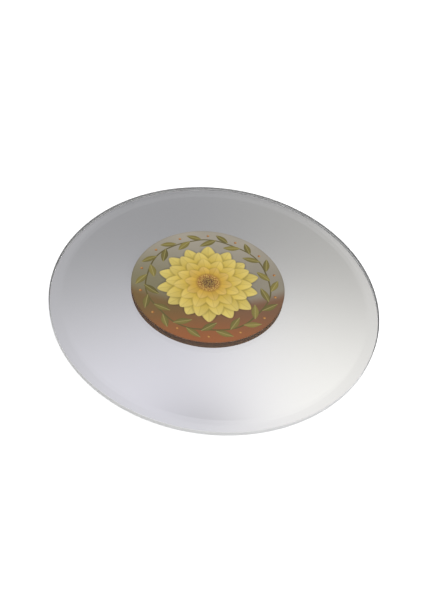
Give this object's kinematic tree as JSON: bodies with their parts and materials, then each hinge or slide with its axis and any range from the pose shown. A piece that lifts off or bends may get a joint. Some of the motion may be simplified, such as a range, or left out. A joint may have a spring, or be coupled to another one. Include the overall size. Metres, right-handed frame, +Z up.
{
  "type": "candle plate",
  "caption": "Round bevelled mirror plate on low clear bumper feet, with a round printed label on its face, for standing candles on.",
  "frame": {"origin": "on the table, under the centre of the disc", "axes": "+Z up, out of the mirror face that the candles stand on; +Y the way the label reads upwards"},
  "size_m": [0.25, 0.25, 0.0088],
  "materials": {
    "glass": "polished float glass with a ground rim",
    "silver": "mirror",
    "backing_paint": "grey mirror-backing paint, slightly uneven",
    "label_adhesive": "clear adhesive",
    "label_paper": "printed, satin",
    "bumper": "clear polyurethane",
    "bumper_adhesive": "clear adhesive"
  },
  "bodies": {
    "root": {"glass_disc": "glass", "silver_coat": "silver", "backing_paint": "backing_paint", "label_adhesive": "label_adhesive", "label_paper": "label_paper", "bumper_1": "bumper", "bumper_2": "bumper", "bumper_3": "bumper", "bumper_4": "bumper", "bumper_adhesive_1": "bumper_adhesive", "bumper_adhesive_2": "bumper_adhesive", "bumper_adhesive_3": "bumper_adhesive", "bumper_adhesive_4": "bumper_adhesive"}
  },
  "joints": []
}
